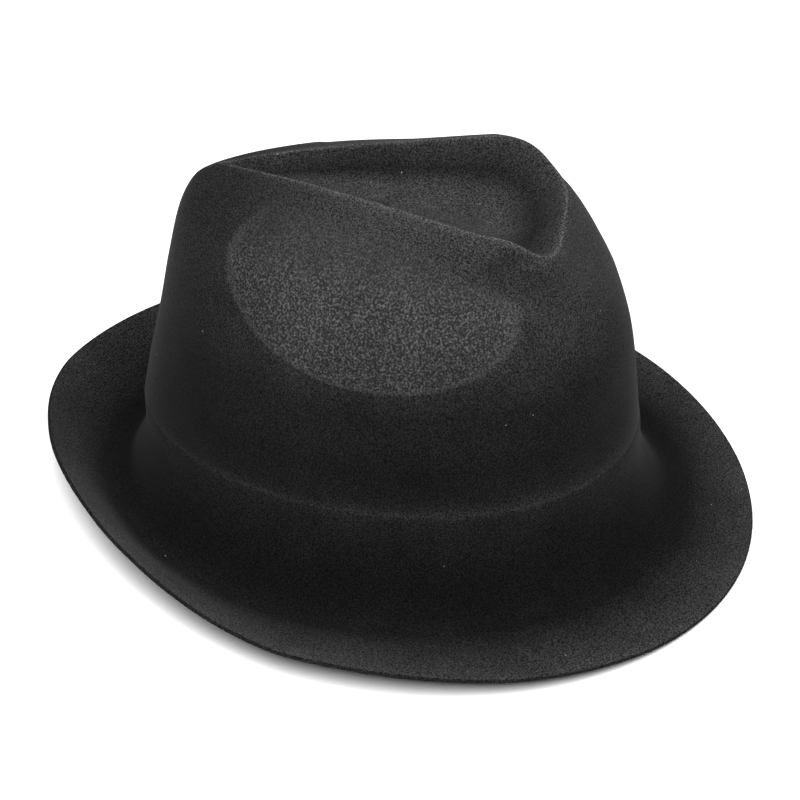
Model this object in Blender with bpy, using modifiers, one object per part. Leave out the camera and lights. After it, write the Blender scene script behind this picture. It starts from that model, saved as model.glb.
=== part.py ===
"""A plain velvet fedora: one moulded shell, with a dented crown, two front pinches and a snapped brim."""

import math

import bpy
import numpy as np

# Sizes in metres. The wearer faces -Y, and heights are over the brim line, where the crown meets the brim.
CROWN_LENGTH = 0.2000
CROWN_WIDTH = 0.1580
CROWN_HEIGHT = 0.1345
BRIM_FRONT = 0.0466
BRIM_SIDE = 0.0484
BRIM_BACK = 0.0442
BRIM_SWEEP = 0.0340
SHEET_THICKNESS = 0.0016

# Each side of the crown has a pinch beside the front, and a shallow groove under the ridge. Turns are degrees
# round a ring from the front's middle, and the hollows are pressed towards an upright line behind the front.
PINCH_DEPTH = 0.0090
PINCH_SPREAD = 16.0
GROOVE_DEPTH = 0.0020
GROOVE_TURN = 88.0
GROOVE_SPREAD = 38.0
PRESS_CENTRE_Y = -0.0100

# Mesh fineness: faces along one half of a ring, and rings from one section to the next.
HALF_RING_FACES = 36
RINGS_PER_SECTION = 2

# Brim sections from the edge in. Centre is a share of half the crown's length, reach is a share of each brim
# width, and heights are shares of the brim sweep. A dip lowers the front quarters, and a lift raises the back ones.
BRIM_COLUMNS = ("centre", "reach", "z_front", "z_side", "z_back", "front_dip", "back_lift", "power_back")
BRIM_SECTIONS = {
    "edge": (-0.08, 1.000, -0.525, 0.010, 0.490, 0.010, 0.165, 1.75),
    "roll": (-0.06, 0.740, -0.390, -0.110, 0.200, 0.010, 0.090, 1.85),
    "trough": (-0.03, 0.455, -0.215, -0.205, -0.105, 0.010, 0.020, 2.00),
    "foot": (-0.01, 0.250, -0.080, -0.120, -0.105, 0.000, 0.000, 2.00),
    "flare": (0.00, 0.120, 0.180, 0.150, 0.150, 0.000, 0.000, 2.00),
    "neck": (0.00, 0.040, 0.500, 0.500, 0.500, 0.000, 0.000, 2.00),
}

# Crown sections from the band line up and over into the dent. Centre, front and back are shares of half the
# crown's length, side is a share of half its width, and heights, dip and lift are shares of its height. Pinch
# and groove are shares of those hollows' depths, and pinch_turn is the turn at the middle of the pinch.
CROWN_COLUMNS = (
    "centre", "front", "back", "side", "z_front", "z_side", "z_back", "front_dip", "back_lift",
    "power_front", "power_back", "pinch", "pinch_turn", "groove",
)
CROWN_SECTIONS = {
    "band_foot": (0.00, 1.012, 1.022, 1.002, 0.218, 0.218, 0.218, 0.000, 0.000, 2.10, 2.00, 0.00, 20.0, 0.00),
    "band_line": (0.00, 1.002, 1.012, 0.990, 0.232, 0.232, 0.232, 0.000, 0.000, 2.10, 2.00, 0.00, 20.0, 0.00),
    "low_wall": (0.00, 0.985, 0.968, 0.990, 0.370, 0.370, 0.370, 0.000, 0.000, 2.10, 2.00, 0.00, 22.0, 0.00),
    "mid_wall": (-0.02, 0.940, 0.930, 0.922, 0.533, 0.533, 0.533, 0.000, 0.000, 2.10, 2.00, 0.05, 25.0, 0.00),
    "high_wall": (-0.06, 0.845, 0.930, 0.845, 0.689, 0.689, 0.681, 0.000, 0.000, 2.15, 2.00, 0.50, 31.0, 0.00),
    "shoulder": (-0.14, 0.690, 0.970, 0.730, 0.815, 0.825, 0.812, 0.007, 0.004, 2.40, 1.90, 0.92, 41.0, 0.30),
    "top_wall": (-0.24, 0.530, 1.015, 0.600, 0.895, 0.922, 0.882, 0.012, 0.007, 2.80, 1.70, 0.76, 53.0, 1.00),
    "ridge_out": (-0.34, 0.400, 1.045, 0.500, 0.925, 0.978, 0.914, 0.025, 0.015, 3.20, 1.28, 0.45, 58.0, 0.60),
    "ridge": (-0.38, 0.340, 1.060, 0.420, 0.935, 1.000, 0.927, 0.032, 0.020, 3.60, 1.08, 0.20, 60.0, 0.10),
    "ridge_in": (-0.38, 0.290, 1.020, 0.370, 0.928, 0.987, 0.922, 0.030, 0.018, 3.40, 1.12, 0.12, 60.0, 0.00),
    "dent_slope": (-0.37, 0.230, 0.860, 0.270, 0.902, 0.938, 0.912, 0.010, 0.006, 2.80, 1.25, 0.00, 60.0, 0.00),
    "dent_floor": (-0.34, 0.155, 0.680, 0.160, 0.880, 0.900, 0.910, 0.000, 0.000, 2.40, 1.40, 0.00, 60.0, 0.00),
    "crease": (-0.31, 0.105, 0.520, 0.000, 0.872, 0.880, 0.905, 0.000, 0.000, 2.00, 1.50, 0.00, 60.0, 0.00),
}

# How quickly a ring's height changes from its sides towards its front and back.
RISE_POWER = 1.5


def section_rows():
    """One row of real sizes for each section, from the brim's edge to the crease in the dent."""
    half_length = CROWN_LENGTH / 2
    half_width = CROWN_WIDTH / 2
    rows = []
    for values in BRIM_SECTIONS.values():
        cell = dict(zip(BRIM_COLUMNS, values))
        centre = cell["centre"] * half_length
        rows.append((
            centre,
            half_length + cell["reach"] * BRIM_FRONT + centre,
            half_length + cell["reach"] * BRIM_BACK - centre,
            half_width + cell["reach"] * BRIM_SIDE,
            cell["z_front"] * BRIM_SWEEP,
            cell["z_side"] * BRIM_SWEEP,
            cell["z_back"] * BRIM_SWEEP,
            cell["front_dip"] * BRIM_SWEEP,
            cell["back_lift"] * BRIM_SWEEP,
            2.0,
            cell["power_back"],
            0.0,
            0.0,
            0.0,
        ))
    for values in CROWN_SECTIONS.values():
        cell = dict(zip(CROWN_COLUMNS, values))
        rows.append((
            cell["centre"] * half_length,
            cell["front"] * half_length,
            cell["back"] * half_length,
            cell["side"] * half_width,
            cell["z_front"] * CROWN_HEIGHT,
            cell["z_side"] * CROWN_HEIGHT,
            cell["z_back"] * CROWN_HEIGHT,
            cell["front_dip"] * CROWN_HEIGHT,
            cell["back_lift"] * CROWN_HEIGHT,
            cell["power_front"],
            cell["power_back"],
            cell["pinch"] * PINCH_DEPTH,
            math.radians(cell["pinch_turn"]),
            cell["groove"] * GROOVE_DEPTH,
        ))
    return np.array(rows)


def rows_between(rows, steps):
    """Smooth rows through the section rows, with their spacing along the surface kept in mind."""
    reach_and_height = rows[:, 1:7]
    spans = np.sqrt(np.linalg.norm(np.diff(reach_and_height, axis=0), axis=1))
    first = 2 * rows[0] - rows[1]
    last = 2 * rows[-1] - rows[-2]
    padded = np.vstack([first, rows, last])
    spans = np.concatenate([spans[:1], spans, spans[-1:]])
    smooth = []
    for index in range(len(rows) - 1):
        before, start, end, after = padded[index:index + 4]
        span_before, span, span_after = spans[index:index + 3]
        slope_start = (end - before) / (span_before + span) * span
        slope_end = (after - start) / (span + span_after) * span
        for step in range(steps):
            s = step / steps
            smooth.append(
                (2 * s**3 - 3 * s**2 + 1) * start
                + (s**3 - 2 * s**2 + s) * slope_start
                + (3 * s**2 - 2 * s**3) * end
                + (s**3 - s**2) * slope_end
            )
    smooth.append(rows[-1])
    return np.array(smooth)


def half_ring(row, turn):
    """Points of one ring's half, from the front's middle round the wearer's left side to the back's middle."""
    centre, front, back, side, z_front, z_side, z_back, front_dip, back_lift = row[:9]
    power_front, power_back, pinch, pinch_turn, groove = row[9:]
    sine = np.sin(turn)
    cosine = np.cos(turn)
    ahead = cosine > 0
    roundness = 2.0 / np.where(ahead, power_front, power_back)
    x = side * np.clip(sine, 0.0, 1.0) ** roundness
    y = centre - np.where(ahead, front, back) * np.sign(cosine) * np.abs(cosine) ** roundness
    rise = np.where(ahead, z_front - z_side, z_back - z_side) * np.abs(cosine) ** RISE_POWER
    lift = np.where(ahead, -front_dip, back_lift) * np.sin(2 * turn) ** 2
    press = pinch * bump(turn, pinch_turn, math.radians(PINCH_SPREAD))
    press = press + groove * bump(turn, math.radians(GROOVE_TURN), math.radians(GROOVE_SPREAD))
    heading = np.arctan2(x, PRESS_CENTRE_Y - y)
    return np.stack([x - press * np.sin(heading), y + press * np.cos(heading), z_side + rise + lift], axis=1)


def bump(turn, middle, spread):
    """A smooth rise from 0 to 1 and back, centred on one turn."""
    return np.exp(-(((turn - middle) / spread) ** 2))


def leaned(points, angle):
    """The points turned about the cross axis: a positive angle lifts the front."""
    y, z = points[..., 1], points[..., 2]
    turned = points.copy()
    turned[..., 1] = y * math.cos(angle) + z * math.sin(angle)
    turned[..., 2] = z * math.cos(angle) - y * math.sin(angle)
    return turned


def rest_angle(points):
    """The lean at which the brim bears on a level surface both in front and behind."""
    low, high = 0.0, math.radians(10.0)
    while high - low > math.radians(0.001):
        middle = (low + high) / 2
        turned = leaned(points, middle)
        front_lowest = turned[..., 2][turned[..., 1] < 0].min()
        back_lowest = turned[..., 2][turned[..., 1] >= 0].min()
        if front_lowest < back_lowest:
            low = middle
        else:
            high = middle
    return (low + high) / 2


def half_sheet(half_faces, steps):
    """The outer face of the hat's left half, as a grid of points: a row for each ring, from the brim's edge in."""
    turn = np.linspace(0.0, math.pi, half_faces + 1)
    rings = np.stack([half_ring(row, turn) for row in rows_between(section_rows(), steps)])
    rings[:, 0, 0] = 0.0
    rings[:, -1, 0] = 0.0
    rings[-1, :, 0] = 0.0
    return leaned(rings, rest_angle(rings))


def grid_faces(ring_count, point_count):
    """Quads between neighbouring rings, facing out."""
    faces = []
    for ring in range(ring_count - 1):
        for point in range(point_count - 1):
            corner = ring * point_count + point
            faces.append((corner, corner + 1, corner + 1 + point_count, corner + point_count))
    return faces


def velvet_material():
    material = bpy.data.materials.new("black_velvet")
    material.use_nodes = True
    shader = material.node_tree.nodes["Principled BSDF"]
    shader.inputs["Base Color"].default_value = (0.012, 0.012, 0.013, 1.0)
    shader.inputs["Roughness"].default_value = 0.9
    shader.inputs["Metallic"].default_value = 0.0
    return material


def hat(collection):
    """The whole hat: half a sheet, mirrored at the middle and given its thickness inwards."""
    rings = half_sheet(HALF_RING_FACES, RINGS_PER_SECTION)
    mesh = bpy.data.meshes.new("hat")
    mesh.from_pydata(rings.reshape(-1, 3).tolist(), [], grid_faces(*rings.shape[:2]))
    mesh.materials.append(velvet_material())
    mesh.shade_smooth()
    shell = bpy.data.objects.new("hat", mesh)
    collection.objects.link(shell)
    mirror = shell.modifiers.new("both_halves", "MIRROR")
    mirror.use_clip = True
    mirror.merge_threshold = 0.00005
    thickness = shell.modifiers.new("sheet", "SOLIDIFY")
    thickness.thickness = SHEET_THICKNESS
    thickness.offset = -1.0
    stand_at_origin(shell)


def stand_at_origin(shell):
    """Moves the finished solid so that it stands on Z = 0 with its bounding box centred on the Z axis."""
    bpy.context.view_layer.update()
    solid = shell.evaluated_get(bpy.context.evaluated_depsgraph_get())
    corners = np.array([corner[:] for corner in solid.bound_box])
    middle = (corners.min(axis=0) + corners.max(axis=0)) / 2
    shell.location = (-middle[0], -middle[1], -corners[:, 2].min())


def main():
    for old in list(bpy.data.objects):
        bpy.data.objects.remove(old, do_unlink=True)
    parts = bpy.data.collections.new("velvet_hat")
    bpy.context.scene.collection.children.link(parts)
    hat(parts)


main()
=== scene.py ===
"""The looks of the velvet hat: the moulded shell at full fineness, its short pile, the floor, lights and camera.

Lengths are metres in the frame of the CAD part: the hat stands on Z = 0, and the wearer faces -Y.
"""

import math

import bpy
import numpy as np
from mathutils import Matrix, Vector, noise

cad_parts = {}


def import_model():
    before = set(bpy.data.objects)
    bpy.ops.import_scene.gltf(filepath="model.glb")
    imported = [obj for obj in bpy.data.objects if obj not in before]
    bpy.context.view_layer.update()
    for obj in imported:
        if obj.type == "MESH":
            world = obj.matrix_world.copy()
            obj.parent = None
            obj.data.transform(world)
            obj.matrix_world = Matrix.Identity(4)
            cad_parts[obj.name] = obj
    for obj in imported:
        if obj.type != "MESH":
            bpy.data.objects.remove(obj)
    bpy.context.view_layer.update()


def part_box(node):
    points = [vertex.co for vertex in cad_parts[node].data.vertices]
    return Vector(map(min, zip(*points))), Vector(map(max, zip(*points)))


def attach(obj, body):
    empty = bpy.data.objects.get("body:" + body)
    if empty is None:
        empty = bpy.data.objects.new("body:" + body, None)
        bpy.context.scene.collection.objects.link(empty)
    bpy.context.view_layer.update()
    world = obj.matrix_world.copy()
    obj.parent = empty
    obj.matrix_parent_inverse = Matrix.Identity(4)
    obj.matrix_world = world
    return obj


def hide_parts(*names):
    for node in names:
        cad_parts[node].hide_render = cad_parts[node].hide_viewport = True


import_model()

# The hat's driving sizes. Heights are over the brim line, where the crown meets the brim.
CROWN_LENGTH = 0.2000
CROWN_WIDTH = 0.1580
CROWN_HEIGHT = 0.1345
BRIM_FRONT = 0.0466
BRIM_SIDE = 0.0484
BRIM_BACK = 0.0442
BRIM_SWEEP = 0.0340
SHEET_THICKNESS = 0.0016

# Each side of the crown has a pinch beside the front, and a shallow groove under the ridge. Turns are degrees
# round a ring from the front's middle, and the hollows are pressed towards an upright line behind the front.
PINCH_DEPTH = 0.0090
PINCH_SPREAD = 16.0
GROOVE_DEPTH = 0.0030
GROOVE_TURN = 88.0
GROOVE_SPREAD = 38.0
PRESS_CENTRE_Y = -0.0100

# Mesh fineness: faces along one half of a ring, rings from one section to the next, and rows round the edge.
HALF_RING_FACES = 120
RINGS_PER_SECTION = 6
EDGE_ROWS = 5

# Brim sections from the edge in. Centre is a share of half the crown's length, reach is a share of each brim
# width, and heights are shares of the brim sweep. A dip lowers the front quarters, and a lift raises the back ones.
BRIM_COLUMNS = ("centre", "reach", "z_front", "z_side", "z_back", "front_dip", "back_lift", "power_back")
BRIM_SECTIONS = {
    "edge": (-0.08, 1.000, -0.525, 0.010, 0.490, 0.010, 0.165, 1.75),
    "roll": (-0.06, 0.740, -0.390, -0.110, 0.200, 0.010, 0.090, 1.85),
    "trough": (-0.03, 0.455, -0.215, -0.205, -0.105, 0.010, 0.020, 2.00),
    "foot": (-0.01, 0.250, -0.080, -0.120, -0.105, 0.000, 0.000, 2.00),
    "flare": (0.00, 0.120, 0.180, 0.150, 0.150, 0.000, 0.000, 2.00),
    "neck": (0.00, 0.040, 0.500, 0.500, 0.500, 0.000, 0.000, 2.00),
}

# Crown sections from the band line up and over into the dent. Centre, front and back are shares of half the
# crown's length, side is a share of half its width, and heights, dip and lift are shares of its height. Pinch
# and groove are shares of those hollows' depths, and pinch_turn is the turn at the middle of the pinch.
CROWN_COLUMNS = (
    "centre", "front", "back", "side", "z_front", "z_side", "z_back", "front_dip", "back_lift",
    "power_front", "power_back", "pinch", "pinch_turn", "groove",
)
CROWN_SECTIONS = {
    "band_foot": (0.00, 1.006, 1.016, 0.996, 0.218, 0.218, 0.218, 0.000, 0.000, 2.10, 2.00, 0.00, 20.0, 0.00),
    "band_line": (0.00, 1.002, 1.012, 0.990, 0.232, 0.232, 0.232, 0.000, 0.000, 2.10, 2.00, 0.00, 20.0, 0.00),
    "low_wall": (0.00, 0.985, 0.968, 0.990, 0.370, 0.370, 0.370, 0.000, 0.000, 2.10, 2.00, 0.00, 22.0, 0.00),
    "mid_wall": (-0.02, 0.940, 0.930, 0.922, 0.533, 0.533, 0.533, 0.000, 0.000, 2.10, 2.00, 0.05, 25.0, 0.00),
    "high_wall": (-0.06, 0.845, 0.930, 0.845, 0.689, 0.689, 0.681, 0.000, 0.000, 2.15, 2.00, 0.50, 31.0, 0.00),
    "shoulder": (-0.14, 0.690, 0.970, 0.730, 0.815, 0.825, 0.812, 0.007, 0.004, 2.40, 1.90, 0.92, 41.0, 0.30),
    "top_wall": (-0.24, 0.530, 1.015, 0.625, 0.895, 0.922, 0.882, 0.012, 0.007, 2.80, 1.60, 0.76, 53.0, 1.00),
    "ridge_out": (-0.38, 0.360, 1.085, 0.528, 0.925, 0.978, 0.914, 0.025, 0.015, 3.20, 1.22, 0.45, 58.0, 0.60),
    "ridge": (-0.44, 0.280, 1.120, 0.455, 0.935, 1.000, 0.927, 0.026, 0.026, 3.60, 1.05, 0.16, 60.0, 0.10),
    "ridge_in": (-0.44, 0.230, 1.080, 0.405, 0.928, 0.987, 0.922, 0.030, 0.018, 3.40, 1.07, 0.12, 60.0, 0.00),
    "dent_slope": (-0.41, 0.190, 0.900, 0.290, 0.902, 0.938, 0.912, 0.010, 0.006, 2.80, 1.20, 0.00, 60.0, 0.00),
    "dent_floor": (-0.34, 0.155, 0.680, 0.160, 0.880, 0.900, 0.910, 0.000, 0.000, 2.40, 1.40, 0.00, 60.0, 0.00),
    "crease": (-0.31, 0.105, 0.520, 0.000, 0.872, 0.880, 0.905, 0.000, 0.000, 2.00, 1.50, 0.00, 60.0, 0.00),
}

# How quickly a ring's height changes from its sides towards its front and back.
RISE_POWER = 1.5

# Where a row of real sizes keeps the depth of its pinch.
PINCH_PLACE = 11

# The hand that pinched the front set it a little askew: the dent's front end runs back towards the wearer's left
# by NOSE_SKEW of the distance across, from SKEW_BACK_Y forward to SKEW_FRONT_Y, and the left pinch is shallower.
NOSE_SKEW = 0.24
SKEW_BACK_Y = 0.020
SKEW_FRONT_Y = -0.040
LEFT_PINCH_SHARE = 0.10

# Each side of the crown has an oval patch of rubbed pile, pressed in a little. Its middle and half axes lie in a
# side view, and it is tilted up towards the back.
PATCH_MIDDLE_Y = -0.0040
PATCH_MIDDLE_Z = 0.1175
PATCH_HALF_LENGTH = 0.0565
PATCH_HALF_HEIGHT = 0.0245
PATCH_TILT = 5.0
PATCH_POWER = 1.9
PATCH_DEPTH = 0.0005
PATCH_STEP = 0.0012

# Soft unevenness of the moulded shell: how far it goes in and out, and how wide its swells are.
SWELL_DEPTH = 0.0004
SWELL_WIDTH = 0.028

# How light the pile is, how far it is askew, how far the rubbed patch reaches, and where a light line runs along
# a ring, for each section: shares from 0 to 1. How light the pile is stands for painted light and shade: painted
# light and sheen on the brim's edge, the crown's shoulders, the ridge and the dent's floor, and painted shade in the
# brim's trough, at the crown's foot, low on its wall and on the dent's slopes. The light line is a painted highlight
# along the ridge and the band line.
PILE_COLUMNS = ("light", "askew", "rubbed", "line")
PILE_SECTIONS = {
    "edge": (0.90, 0.0, 0.0, 0.0),
    "roll": (0.50, 0.0, 0.0, 0.0),
    "trough": (0.05, 0.0, 0.0, 0.0),
    "foot": (0.00, 0.0, 0.0, 0.0),
    "flare": (0.02, 0.0, 0.0, 0.0),
    "neck": (0.10, 0.0, 0.0, 0.0),
    "band_foot": (0.20, 0.0, 0.0, 0.0),
    "band_line": (0.18, 0.0, 0.0, 0.8),
    "low_wall": (0.06, 0.0, 1.0, 0.0),
    "mid_wall": (0.14, 0.0, 1.0, 0.0),
    "high_wall": (0.50, 0.1, 1.0, 0.0),
    "shoulder": (0.72, 0.4, 1.0, 0.0),
    "top_wall": (0.62, 0.8, 0.6, 0.0),
    "ridge_out": (0.72, 1.0, 0.0, 0.0),
    "ridge": (0.80, 1.0, 0.0, 1.0),
    "ridge_in": (0.50, 1.0, 0.0, 0.0),
    "dent_slope": (0.20, 1.0, 0.0, 0.0),
    "dent_floor": (0.85, 1.0, 0.0, 0.0),
    "crease": (0.85, 1.0, 0.0, 0.0),
}

# The pile's colours are greys from 0 to 1, and its grain, mottling and lint are sized in metres. The first two
# greys are the pile where its painted light is none and where it is full.
PILE_DARK = 0.0025
PILE_LIT_GREY = 0.0290
PATCH_LIGHT = 0.0125
# The painted highlight along the ridge and the band line, and how narrow it is.
PAINTED_HIGHLIGHT_GREY = 0.0250
HIGHLIGHT_SHARPNESS = 5.0
# Painted shade: the crown's wall is darkened towards the back by this share, between these places along Y.
BACK_SHADE = 0.65
BACK_SHADE_FROM_Y = 0.005
BACK_SHADE_TO_Y = 0.075
# Painted light and shade on the brim: what its light is multiplied by at places along Y from the front to the back,
# darker at the front and at the back end, lighter towards the back.
BRIM_PAINTED_LIGHT_AND_SHADE = {-0.100: 0.85, 0.000: 1.00, 0.070: 1.45, 0.110: 1.15, 0.135: 0.55}
LINT_LIGHT = 0.1200
SHEEN_WEIGHT = 0.035
SHEEN_ROUGHNESS = 0.40
FINE_GRAIN = 0.0006
COARSE_GRAIN = 0.0008
MOTTLE_WIDTH = 0.0220
MOTTLE_RANGE = 0.9
PILE_RELIEF = 0.0002
LINT_SPACING = 0.0090
LINT_SIZE = 0.0004
LINT_SHARE = 0.35

# The studio's sky: how much it lights the hat, and how bright it looks behind the floor.
SKY_LIGHT = 0.12
SKY_SEEN = 0.28

# The photo's camera: its direction from the hat in degrees, its distance, the point that it looks at as shifts
# to the right and up in the picture, and its lens on a sensor of SENSOR_WIDTH millimetres.
CAMERA_AZIMUTH = -70.435
CAMERA_ELEVATION = 35.529
CAMERA_ROLL = -1.51
CAMERA_DISTANCE = 1.0068
CAMERA_SHIFT_RIGHT = 0.0019
CAMERA_SHIFT_UP = 0.0332
CAMERA_LENS = 110.8
SENSOR_WIDTH = 36.0


def section_rows():
    """One row of real sizes for each section, from the brim's edge to the crease in the dent."""
    half_length = CROWN_LENGTH / 2
    half_width = CROWN_WIDTH / 2
    rows = []
    for values in BRIM_SECTIONS.values():
        cell = dict(zip(BRIM_COLUMNS, values))
        centre = cell["centre"] * half_length
        rows.append((
            centre,
            half_length + cell["reach"] * BRIM_FRONT + centre,
            half_length + cell["reach"] * BRIM_BACK - centre,
            half_width + cell["reach"] * BRIM_SIDE,
            cell["z_front"] * BRIM_SWEEP,
            cell["z_side"] * BRIM_SWEEP,
            cell["z_back"] * BRIM_SWEEP,
            cell["front_dip"] * BRIM_SWEEP,
            cell["back_lift"] * BRIM_SWEEP,
            2.0,
            cell["power_back"],
            0.0,
            0.0,
            0.0,
        ))
    for values in CROWN_SECTIONS.values():
        cell = dict(zip(CROWN_COLUMNS, values))
        rows.append((
            cell["centre"] * half_length,
            cell["front"] * half_length,
            cell["back"] * half_length,
            cell["side"] * half_width,
            cell["z_front"] * CROWN_HEIGHT,
            cell["z_side"] * CROWN_HEIGHT,
            cell["z_back"] * CROWN_HEIGHT,
            cell["front_dip"] * CROWN_HEIGHT,
            cell["back_lift"] * CROWN_HEIGHT,
            cell["power_front"],
            cell["power_back"],
            cell["pinch"] * PINCH_DEPTH,
            math.radians(cell["pinch_turn"]),
            cell["groove"] * GROOVE_DEPTH,
        ))
    return np.array(rows)


def rows_between(rows, steps):
    """Smooth rows through the section rows, with their spacing along the surface kept in mind."""
    reach_and_height = rows[:, 1:7]
    spans = np.sqrt(np.linalg.norm(np.diff(reach_and_height, axis=0), axis=1))
    first = 2 * rows[0] - rows[1]
    last = 2 * rows[-1] - rows[-2]
    padded = np.vstack([first, rows, last])
    spans = np.concatenate([spans[:1], spans, spans[-1:]])
    smooth = []
    for index in range(len(rows) - 1):
        before, start, end, after = padded[index:index + 4]
        span_before, span, span_after = spans[index:index + 3]
        slope_start = (end - before) / (span_before + span) * span
        slope_end = (after - start) / (span + span_after) * span
        for step in range(steps):
            s = step / steps
            smooth.append(
                (2 * s**3 - 3 * s**2 + 1) * start
                + (s**3 - 2 * s**2 + s) * slope_start
                + (3 * s**2 - 2 * s**3) * end
                + (s**3 - s**2) * slope_end
            )
    smooth.append(rows[-1])
    return np.array(smooth)


def half_ring(row, turn):
    """Points of one ring's half, from the front's middle round the wearer's left side to the back's middle."""
    centre, front, back, side, z_front, z_side, z_back, front_dip, back_lift = row[:9]
    power_front, power_back, pinch, pinch_turn, groove = row[9:]
    sine = np.sin(turn)
    cosine = np.cos(turn)
    ahead = cosine > 0
    roundness = 2.0 / np.where(ahead, power_front, power_back)
    x = side * np.clip(sine, 0.0, 1.0) ** roundness
    y = centre - np.where(ahead, front, back) * np.sign(cosine) * np.abs(cosine) ** roundness
    rise = np.where(ahead, z_front - z_side, z_back - z_side) * np.abs(cosine) ** RISE_POWER
    lift = np.where(ahead, -front_dip, back_lift) * np.sin(2 * turn) ** 2
    press = pinch * bump(turn, pinch_turn, math.radians(PINCH_SPREAD))
    press = press + groove * bump(turn, math.radians(GROOVE_TURN), math.radians(GROOVE_SPREAD))
    heading = np.arctan2(x, PRESS_CENTRE_Y - y)
    return np.stack([x - press * np.sin(heading), y + press * np.cos(heading), z_side + rise + lift], axis=1)


def bump(turn, middle, spread):
    """A smooth rise from 0 to 1 and back, centred on one turn."""
    return np.exp(-(((turn - middle) / spread) ** 2))


def leaned(points, angle):
    """The points turned about the cross axis: a positive angle lifts the front."""
    y, z = points[..., 1], points[..., 2]
    turned = points.copy()
    turned[..., 1] = y * math.cos(angle) + z * math.sin(angle)
    turned[..., 2] = z * math.cos(angle) - y * math.sin(angle)
    return turned


def rest_angle(points):
    """The lean at which the brim bears on a level surface both in front and behind."""
    low, high = 0.0, math.radians(10.0)
    while high - low > math.radians(0.001):
        middle = (low + high) / 2
        turned = leaned(points, middle)
        front_lowest = turned[..., 2][turned[..., 1] < 0].min()
        back_lowest = turned[..., 2][turned[..., 1] >= 0].min()
        if front_lowest < back_lowest:
            low = middle
        else:
            high = middle
    return (low + high) / 2


def outer_sheet():
    """The outer face as closed rings of points, from the brim's edge in to the crease, before it is seated."""
    turn = np.linspace(0.0, math.pi, HALF_RING_FACES + 1)
    rows = rows_between(section_rows(), RINGS_PER_SECTION)
    shallower = rows.copy()
    shallower[:, PINCH_PLACE] *= LEFT_PINCH_SHARE
    left, right = (np.stack([half_ring(row, turn) for row in side]) for side in (shallower, rows))
    lean = rest_angle(right)
    for half in (left, right):
        half[:, 0, 0] = 0.0
        half[:, -1, 0] = 0.0
        half[-1, :, 0] = 0.0
    mirrored = leaned(right, lean)[:, -2:0:-1] * np.array([-1.0, 1.0, 1.0])
    rings = np.concatenate([leaned(left, lean), mirrored], axis=1)
    forward = smooth_share((SKEW_BACK_Y - rings[..., 1]) / (SKEW_BACK_Y - SKEW_FRONT_Y))
    rings[..., 1] += NOSE_SKEW * rings[..., 0] * forward * pile_column("askew")[:, None]
    return rings


def smooth_share(value):
    """A share that rises smoothly from 0 to 1."""
    share = np.clip(value, 0.0, 1.0)
    return share * share * (3.0 - 2.0 * share)


def pile_column(column):
    """One column of the pile's table, with a value for every ring of the outer face."""
    place = PILE_COLUMNS.index(column)
    values = [row[place] for row in PILE_SECTIONS.values()]
    rings = (len(values) - 1) * RINGS_PER_SECTION + 1
    return np.interp(np.arange(rings) / RINGS_PER_SECTION, np.arange(len(values)), values)


def patch_depth(points):
    """How far inside the rubbed patch each point lies, in metres: less than 0 outside it."""
    tilt = math.radians(PATCH_TILT)
    back = points[..., 1] - PATCH_MIDDLE_Y
    up = points[..., 2] - PATCH_MIDDLE_Z
    along = (back * math.cos(tilt) + up * math.sin(tilt)) / PATCH_HALF_LENGTH
    across = (up * math.cos(tilt) - back * math.sin(tilt)) / PATCH_HALF_HEIGHT
    reach = (np.abs(along) ** PATCH_POWER + np.abs(across) ** PATCH_POWER) ** (1 / PATCH_POWER)
    return (1.0 - reach) * PATCH_HALF_HEIGHT


def worn(outer):
    """The outer face with its rubbed patches pressed in, and with the moulded shell's soft unevenness."""
    normals = sheet_normals(outer)
    first, last = (section_index(name) for name in ("low_wall", "ridge_out"))
    depth = np.zeros(outer.shape[:2])
    depth[first:last] = PATCH_DEPTH * smooth_share(patch_depth(outer[first:last]) / PATCH_STEP)
    swell = np.array([noise.noise(Vector(point) / SWELL_WIDTH) for point in outer.reshape(-1, 3)])
    swell = SWELL_DEPTH * swell.reshape(depth.shape)
    swell[-1] = swell[-1, (-np.arange(outer.shape[1])) % outer.shape[1]] / 2 + swell[-1] / 2
    return outer - normals * (depth + swell)[..., None]


def section_index(name):
    """The index of a section's own ring among the rings of the outer face."""
    return list(PILE_SECTIONS).index(name) * RINGS_PER_SECTION


def sheet_normals(rings):
    """Unit normals of the outer face at every point."""
    around = np.roll(rings, -1, axis=1) - np.roll(rings, 1, axis=1)
    inwards = np.gradient(rings, axis=0)
    normals = np.cross(around, inwards)
    normals[-1] += np.roll(normals[-1][::-1], 1, axis=0)
    for end in (0, HALF_RING_FACES):
        normals[-1, end] = normals[-1, end + 1]
    return normals / np.linalg.norm(normals, axis=-1, keepdims=True)


def shell_rows(outer):
    """Rows of points from the crease on the inside, down to the brim, round its edge and up to the crease."""
    normals = sheet_normals(outer)
    inner = outer - normals * SHEET_THICKNESS
    middle = outer[0] - normals[0] * SHEET_THICKNESS / 2
    outwards = outer[0] - outer[1]
    outwards = outwards - normals[0] * (outwards * normals[0]).sum(axis=-1, keepdims=True)
    outwards = outwards / np.linalg.norm(outwards, axis=-1, keepdims=True)
    edge = []
    for step in range(1, EDGE_ROWS + 1):
        angle = math.pi * (step / (EDGE_ROWS + 1) - 0.5)
        radial = math.sin(angle) * normals[0] + math.cos(angle) * outwards
        edge.append(middle + radial * SHEET_THICKNESS / 2)
    return np.concatenate([inner[::-1], np.stack(edge), outer])


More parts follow.
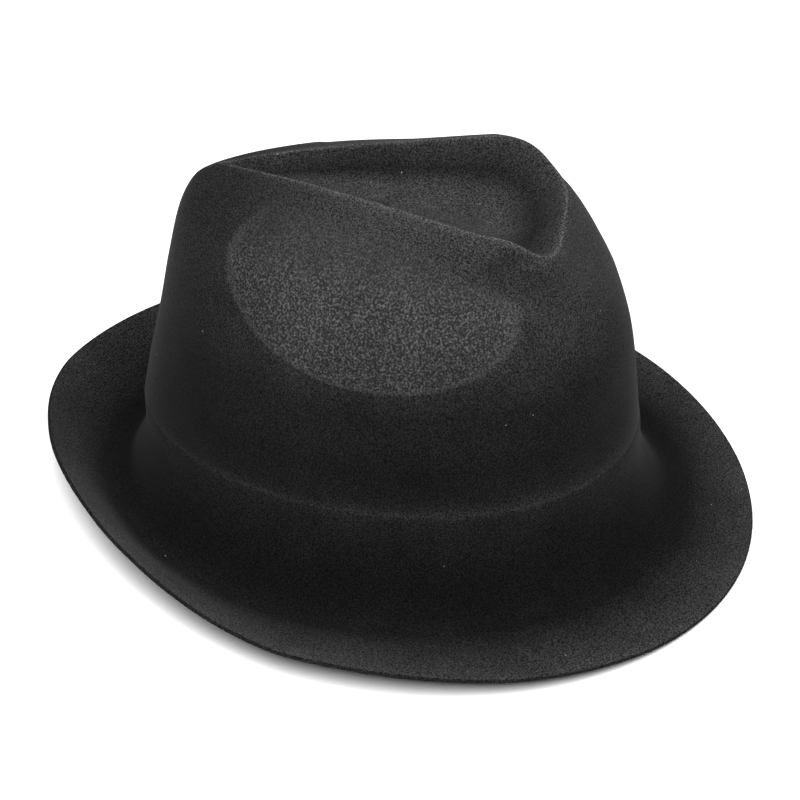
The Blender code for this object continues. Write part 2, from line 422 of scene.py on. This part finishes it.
def hat_shell():
    """The whole hat as one closed mesh."""
    sheet = outer_sheet()
    sheet[..., 1] -= (sheet[..., 1].min() + sheet[..., 1].max()) / 2
    sheet[..., 2] -= sheet[..., 2].min()
    outer = worn(sheet)
    rows = shell_rows(outer)
    row_count, ring_count = rows.shape[:2]
    index = np.arange(row_count * ring_count).reshape(row_count, ring_count)
    opposite = (-np.arange(ring_count)) % ring_count
    for crease in (0, row_count - 1):
        index[crease] = np.minimum(index[crease], index[crease][opposite])
    faces = []
    for row in range(row_count - 1):
        for point in range(ring_count):
            beside = (point + 1) % ring_count
            corners = (index[row, point], index[row, beside], index[row + 1, beside], index[row + 1, point])
            faces.append(tuple(int(corner) for corner in corners))
    used = np.unique(index)
    renumbered = np.full(row_count * ring_count, -1)
    renumbered[used] = np.arange(len(used))
    points = rows.reshape(-1, 3)[used]
    mesh = bpy.data.meshes.new("velvet_shell")
    mesh.from_pydata(points.tolist(), [], [tuple(int(renumbered[c]) for c in face) for face in faces])
    mesh.shade_smooth()
    for name, values in pile_values(sheet).items():
        attribute = mesh.attributes.new(name, "FLOAT", "POINT")
        attribute.data.foreach_set("value", values.reshape(-1)[used].tolist())
    shell = bpy.data.objects.new("velvet_shell", mesh)
    bpy.context.scene.collection.objects.link(shell)
    return shell


def pile_values(sheet):
    """What the pile's material needs at every point of the shell: inner face, edge rows, then outer face."""
    ring_count = sheet.shape[1]
    # Painted light and shade for each section, the same all round each ring.
    light = np.repeat(pile_column("light")[:, None], ring_count, axis=1)
    # Painted shade on the crown's wall towards the back.
    crown = slice(section_index("band_line"), section_index("ridge"))
    back = smooth_share((sheet[crown, :, 1] - BACK_SHADE_FROM_Y) / (BACK_SHADE_TO_Y - BACK_SHADE_FROM_Y))
    light[crown] *= 1.0 - BACK_SHADE * back
    # Painted light and shade on the brim along Y.
    brim = slice(0, section_index("neck"))
    light[brim] *= np.interp(sheet[brim, :, 1], list(BRIM_PAINTED_LIGHT_AND_SHADE), list(BRIM_PAINTED_LIGHT_AND_SHADE.values()))
    patch = np.full(light.shape, -PATCH_HALF_HEIGHT)
    first, last = section_index("low_wall"), section_index("ridge_out")
    patch[first:last] = patch_depth(sheet[first:last])
    rubbed = np.repeat(pile_column("rubbed")[:, None], ring_count, axis=1)
    # The painted highlight along the ridge and the band line.
    line = np.repeat(pile_column("line")[:, None] ** HIGHLIGHT_SHARPNESS, ring_count, axis=1)
    hidden = np.ones((len(sheet), ring_count))
    edge = np.zeros((EDGE_ROWS, ring_count))
    # The inside and the cut edge have plain greys; the outer face has its painted light and shade.
    return {
        "pile_tone_and_painted_light": np.concatenate([0.3 * hidden, edge + 0.2, light]),
        "pile_patch": np.concatenate([-PATCH_HALF_HEIGHT * hidden, edge - PATCH_HALF_HEIGHT, patch]),
        "pile_rubbed": np.concatenate([0.0 * hidden, edge, rubbed]),
        "pile_painted_highlight": np.concatenate([0.0 * hidden, edge, line]),
    }


def seat_on_cad(shell):
    """Moves the shell onto the CAD solid: the middles of the two boxes agree, and both stand on the floor."""
    low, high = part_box("hat")
    points = np.array([vertex.co[:] for vertex in shell.data.vertices])
    middle = (points.min(axis=0) + points.max(axis=0)) / 2
    offset = Vector(((low.x + high.x) / 2 - middle[0], (low.y + high.y) / 2 - middle[1], low.z - points[:, 2].min()))
    shell.data.transform(Matrix.Translation(offset))


def velvet():
    """Short black pile: grain in its colour and relief, painted light, shade and highlights, lighter where it is
    rubbed, with a few specks of lint.
    """
    material = bpy.data.materials.new("black_velvet")
    material.use_nodes = True
    nodes = Nodes(material)
    shader = material.node_tree.nodes["Principled BSDF"]
    shader.inputs["Roughness"].default_value = 0.95
    shader.inputs["Specular IOR Level"].default_value = 0.06
    shader.inputs["Sheen Weight"].default_value = SHEEN_WEIGHT
    shader.inputs["Sheen Roughness"].default_value = SHEEN_ROUGHNESS
    shader.inputs["Sheen Tint"].default_value = (0.85, 0.85, 0.85, 1.0)

    fine = nodes.noise(FINE_GRAIN, 2.0)
    coarse = nodes.noise(COARSE_GRAIN, 3.0)
    mottle = nodes.noise(MOTTLE_WIDTH, 3.0)
    rubbed = nodes.attribute("pile_rubbed")
    patch = nodes.math("MULTIPLY", nodes.ramp(nodes.attribute("pile_patch"), -0.0010, 0.0012), rubbed)
    rim = nodes.math("MULTIPLY", nodes.ramp(nodes.attribute("pile_patch"), -0.0014, 0.0004), rubbed)
    rim = nodes.math("SUBTRACT", rim, patch)
    # The painted light and shade of each place sets its grey between the dark one and the light one.
    tone = nodes.scaled(nodes.attribute("pile_tone_and_painted_light"), PILE_LIT_GREY - PILE_DARK, PILE_DARK)
    tone = nodes.math("MULTIPLY", tone, nodes.scaled(mottle, MOTTLE_RANGE, 1.0 - MOTTLE_RANGE / 2))
    tone = nodes.math("ADD", tone, nodes.scaled(patch, PATCH_LIGHT, 0.0))
    tone = nodes.math("ADD", tone, nodes.scaled(rim, PATCH_LIGHT * 1.5, 0.0))
    # The painted highlight along the ridge and the band line.
    tone = nodes.math("ADD", tone, nodes.scaled(nodes.attribute("pile_painted_highlight"), PAINTED_HIGHLIGHT_GREY, 0.0))
    grain = nodes.scaled(nodes.ramp(fine, 0.32, 0.74), 1.8, 0.2)
    patch_grain = nodes.scaled(nodes.ramp(coarse, 0.40, 0.78), 2.0, 0.35)
    tone = nodes.math("MULTIPLY", tone, nodes.mix(patch, grain, patch_grain))
    tone = nodes.math("ADD", tone, nodes.scaled(nodes.specks(), LINT_LIGHT, 0.0))
    nodes.link(nodes.grey(tone), shader.inputs["Base Color"])
    relief = nodes.mix(patch, fine, coarse)
    nodes.link(nodes.bump(relief, PILE_RELIEF), shader.inputs["Normal"])
    return material


class Nodes:
    """Short names for the shader nodes that the pile is made of. Every place is in the object's own metres."""

    def __init__(self, material):
        self.tree = material.node_tree
        self.place = self.tree.nodes.new("ShaderNodeTexCoord").outputs["Object"]

    def link(self, source, target):
        if isinstance(source, float):
            target.default_value = source
        else:
            self.tree.links.new(source, target)

    def noise(self, width, detail):
        node = self.tree.nodes.new("ShaderNodeTexNoise")
        node.inputs["Scale"].default_value = 1.0 / width
        node.inputs["Detail"].default_value = detail
        self.link(self.place, node.inputs["Vector"])
        return node.outputs["Fac"]

    def attribute(self, name):
        node = self.tree.nodes.new("ShaderNodeAttribute")
        node.attribute_name = name
        return node.outputs["Fac"]

    def math(self, operation, first, second):
        node = self.tree.nodes.new("ShaderNodeMath")
        node.operation = operation
        self.link(first, node.inputs[0])
        self.link(second, node.inputs[1])
        return node.outputs[0]

    def scaled(self, value, factor, offset):
        return self.math("ADD", self.math("MULTIPLY", value, factor), offset)

    def ramp(self, value, low, high):
        node = self.tree.nodes.new("ShaderNodeMapRange")
        node.interpolation_type = "SMOOTHSTEP"
        node.inputs["From Min"].default_value = low
        node.inputs["From Max"].default_value = high
        self.link(value, node.inputs["Value"])
        return node.outputs["Result"]

    def mix(self, share, first, second):
        node = self.tree.nodes.new("ShaderNodeMix")
        self.link(share, node.inputs["Factor"])
        self.link(first, node.inputs["A"])
        self.link(second, node.inputs["B"])
        return node.outputs["Result"]

    def specks(self):
        """A few tiny specks of lint: round dots in some of the cells."""
        cells = self.tree.nodes.new("ShaderNodeTexVoronoi")
        cells.inputs["Scale"].default_value = 1.0 / LINT_SPACING
        self.link(self.place, cells.inputs["Vector"])
        dot = self.ramp(cells.outputs["Distance"], LINT_SIZE / LINT_SPACING, 0.5 * LINT_SIZE / LINT_SPACING)
        split = self.tree.nodes.new("ShaderNodeSeparateColor")
        self.link(cells.outputs["Color"], split.inputs["Color"])
        chosen = self.math("GREATER_THAN", split.outputs["Red"], 1.0 - LINT_SHARE)
        return self.math("MULTIPLY", dot, chosen)

    def grey(self, value):
        node = self.tree.nodes.new("ShaderNodeCombineColor")
        for channel in ("Red", "Green", "Blue"):
            self.link(value, node.inputs[channel])
        return node.outputs["Color"]

    def bump(self, height, distance):
        node = self.tree.nodes.new("ShaderNodeBump")
        node.inputs["Distance"].default_value = distance
        self.link(height, node.inputs["Height"])
        return node.outputs["Normal"]


def floor():
    bpy.ops.mesh.primitive_plane_add(size=8.0, location=(0.0, 0.0, 0.0))
    plane = bpy.context.object
    plane.name = "floor"
    material = bpy.data.materials.new("pale_floor")
    material.use_nodes = True
    shader = material.node_tree.nodes["Principled BSDF"]
    shader.inputs["Base Color"].default_value = (0.90, 0.90, 0.90, 1.0)
    shader.inputs["Roughness"].default_value = 0.9
    plane.data.materials.append(material)


def area_light(name, azimuth, elevation, distance, size, power):
    """A square soft light that looks at the hat from one side."""
    light = bpy.data.lights.new(name, "AREA")
    light.shape = "SQUARE"
    light.size = size
    light.energy = power
    lamp = bpy.data.objects.new(name, light)
    bpy.context.scene.collection.objects.link(lamp)
    lamp.location = direction(azimuth, elevation) * distance
    lamp.rotation_euler = (-lamp.location).to_track_quat("-Z", "Y").to_euler()


def direction(azimuth, elevation):
    """The unit vector from the hat towards a viewer. Azimuth 0 stands in front of the wearer."""
    turn = math.radians(azimuth)
    tilt = math.radians(elevation)
    return Vector((math.sin(turn) * math.cos(tilt), -math.cos(turn) * math.cos(tilt), math.sin(tilt)))


def photo_camera():
    back = direction(CAMERA_AZIMUTH, CAMERA_ELEVATION)
    right = Vector((math.cos(math.radians(CAMERA_AZIMUTH)), math.sin(math.radians(CAMERA_AZIMUTH)), 0.0))
    up = back.cross(right)
    camera = bpy.data.cameras.new("photo_camera")
    camera.sensor_width = SENSOR_WIDTH
    camera.lens = CAMERA_LENS
    holder = bpy.data.objects.new("photo_camera", camera)
    bpy.context.scene.collection.objects.link(holder)
    axes = Matrix((right, up, back)).transposed()
    place = right * CAMERA_SHIFT_RIGHT + up * CAMERA_SHIFT_UP + back * CAMERA_DISTANCE
    roll = Matrix.Rotation(math.radians(-CAMERA_ROLL), 3, "Z")
    holder.matrix_world = Matrix.Translation(place) @ (axes @ roll).to_4x4()
    bpy.context.scene.camera = holder


def world():
    sky = bpy.data.worlds.new("studio")
    sky.use_nodes = True
    background = sky.node_tree.nodes["Background"]
    background.inputs["Color"].default_value = (1.0, 1.0, 1.0, 1.0)
    paths = sky.node_tree.nodes.new("ShaderNodeLightPath")
    seen = sky.node_tree.nodes.new("ShaderNodeMapRange")
    seen.inputs["To Min"].default_value = SKY_LIGHT
    seen.inputs["To Max"].default_value = SKY_SEEN
    sky.node_tree.links.new(paths.outputs["Is Camera Ray"], seen.inputs["Value"])
    sky.node_tree.links.new(seen.outputs["Result"], background.inputs["Strength"])
    bpy.context.scene.world = sky
    bpy.context.scene.view_settings.view_transform = "Standard"


shell = hat_shell()
seat_on_cad(shell)
shell.data.materials.append(velvet())
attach(shell, "root")
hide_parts("hat")

floor()
world()
area_light("top_light", -75.0, 66.0, 2.2, 2.2, 130.0)
photo_camera()
